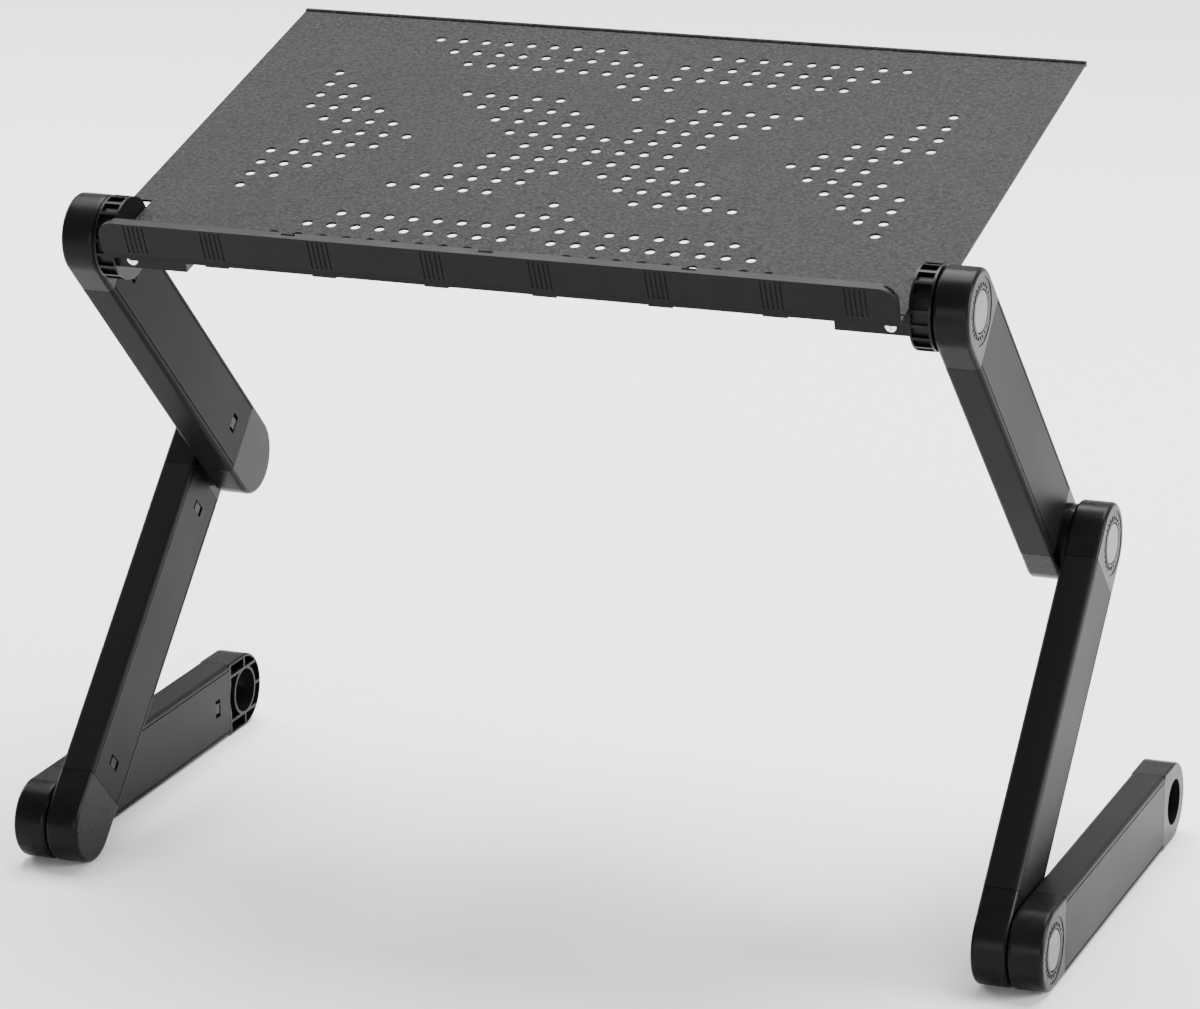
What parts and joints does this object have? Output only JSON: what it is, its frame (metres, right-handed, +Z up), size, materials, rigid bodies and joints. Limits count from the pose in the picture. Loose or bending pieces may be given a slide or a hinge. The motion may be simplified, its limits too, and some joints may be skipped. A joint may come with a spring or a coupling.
{
  "type": "laptop stand",
  "caption": "Folding laptop stand: sloped perforated tray with a front lip on two jointed tube legs that lock at push buttons.",
  "frame": {"origin": "on the ground, under the centre of the whole stand", "axes": "+X to the user's right across the tray, +Y to the rear away from the user, +Z up"},
  "size_m": [0.5356, 0.277, 0.3951],
  "materials": {
    "tray_coat": "fine-textured dark grey powder coat",
    "lip_plastic": "satin black",
    "hub_plastic": "satin black",
    "cap_plastic": "satin black",
    "tube_anodised": "dark grey satin anodised",
    "button_metal": "light silver, fine blasted",
    "gear_steel": "plain",
    "spring_steel": "plain",
    "axle_steel": "zinc plated",
    "bright_screw": "bright plated"
  },
  "bodies": {
    "tray": {"tray_panel": "tray_coat", "front_lip": "lip_plastic", "bracket_screws": "bright_screw", "tray_screws": "bright_screw", "left_hub_bracket": "hub_plastic", "left_shoulder_axle": "axle_steel", "left_shoulder_spring": "spring_steel", "right_hub_bracket": "hub_plastic", "right_shoulder_axle": "axle_steel", "right_shoulder_spring": "spring_steel"},
    "left_upper": {"left_upper_tube": "tube_anodised", "left_upper_top_cap": "cap_plastic", "left_upper_bottom_cap": "cap_plastic", "left_knee_axle": "axle_steel", "left_knee_spring": "spring_steel"},
    "left_middle": {"left_middle_tube": "tube_anodised", "left_middle_top_cap": "cap_plastic", "left_middle_bottom_cap": "cap_plastic", "left_ankle_axle": "axle_steel", "left_ankle_spring": "spring_steel"},
    "left_foot": {"left_foot_tube": "tube_anodised", "left_foot_front_cap": "cap_plastic", "left_foot_rear_cap": "cap_plastic"},
    "left_shoulder_lock": {"left_shoulder_button": "button_metal", "left_shoulder_lock_gear": "gear_steel"},
    "left_knee_lock": {"left_knee_button": "button_metal", "left_knee_lock_gear": "gear_steel"},
    "left_ankle_lock": {"left_ankle_button": "button_metal", "left_ankle_lock_gear": "gear_steel"},
    "right_upper": {"right_upper_tube": "tube_anodised", "right_upper_top_cap": "cap_plastic", "right_upper_bottom_cap": "cap_plastic", "right_knee_axle": "axle_steel", "right_knee_spring": "spring_steel"},
    "right_middle": {"right_middle_tube": "tube_anodised", "right_middle_top_cap": "cap_plastic", "right_middle_bottom_cap": "cap_plastic", "right_ankle_axle": "axle_steel", "right_ankle_spring": "spring_steel"},
    "right_foot": {"right_foot_tube": "tube_anodised", "right_foot_front_cap": "cap_plastic", "right_foot_rear_cap": "cap_plastic"},
    "right_shoulder_lock": {"right_shoulder_button": "button_metal", "right_shoulder_lock_gear": "gear_steel"},
    "right_knee_lock": {"right_knee_button": "button_metal", "right_knee_lock_gear": "gear_steel"},
    "right_ankle_lock": {"right_ankle_button": "button_metal", "right_ankle_lock_gear": "gear_steel"}
  },
  "joints": [
    {"name": "left_shoulder_hinge", "type": "hinge", "parent": "tray", "child": "left_upper", "pos_m": [-0.2104, -0.09957, 0.32504], "axis": [1, 0, 0], "continuous": true},
    {"name": "left_shoulder_press", "type": "slide", "parent": "left_upper", "child": "left_shoulder_lock", "axis": [1, 0, 0], "range_m": [0, 0.0042], "stiffness_N_per_m": 500, "springref_m": -0.004, "deforming": ["left_shoulder_spring"]},
    {"name": "left_knee_hinge", "type": "hinge", "parent": "left_upper", "child": "left_middle", "pos_m": [-0.2324, 0.05485, 0.17329], "axis": [1, 0, 0], "continuous": true},
    {"name": "left_knee_press", "type": "slide", "parent": "left_middle", "child": "left_knee_lock", "axis": [1, 0, 0], "range_m": [0, 0.0042], "stiffness_N_per_m": 500, "springref_m": -0.004, "deforming": ["left_knee_spring"]},
    {"name": "left_ankle_hinge", "type": "hinge", "parent": "left_middle", "child": "left_foot", "pos_m": [-0.2503, -0.09824, 0.0202], "axis": [1, 0, 0], "continuous": true},
    {"name": "left_ankle_press", "type": "slide", "parent": "left_foot", "child": "left_ankle_lock", "axis": [1, 0, 0], "range_m": [0, 0.0042], "stiffness_N_per_m": 500, "springref_m": -0.004, "deforming": ["left_ankle_spring"]},
    {"name": "right_shoulder_hinge", "type": "hinge", "parent": "tray", "child": "right_upper", "pos_m": [0.2104, -0.09957, 0.32504], "axis": [1, 0, 0], "continuous": true},
    {"name": "right_shoulder_press", "type": "slide", "parent": "right_upper", "child": "right_shoulder_lock", "axis": [-1, 0, 0], "range_m": [0, 0.0042], "stiffness_N_per_m": 500, "springref_m": -0.004, "deforming": ["right_shoulder_spring"]},
    {"name": "right_knee_hinge", "type": "hinge", "parent": "right_upper", "child": "right_middle", "pos_m": [0.2324, 0.05485, 0.17329], "axis": [1, 0, 0], "continuous": true},
    {"name": "right_knee_press", "type": "slide", "parent": "right_middle", "child": "right_knee_lock", "axis": [-1, 0, 0], "range_m": [0, 0.0042], "stiffness_N_per_m": 500, "springref_m": -0.004, "deforming": ["right_knee_spring"]},
    {"name": "right_ankle_hinge", "type": "hinge", "parent": "right_middle", "child": "right_foot", "pos_m": [0.2503, -0.09824, 0.0202], "axis": [1, 0, 0], "continuous": true},
    {"name": "right_ankle_press", "type": "slide", "parent": "right_foot", "child": "right_ankle_lock", "axis": [-1, 0, 0], "range_m": [0, 0.0042], "stiffness_N_per_m": 500, "springref_m": -0.004, "deforming": ["right_ankle_spring"]}
  ]
}
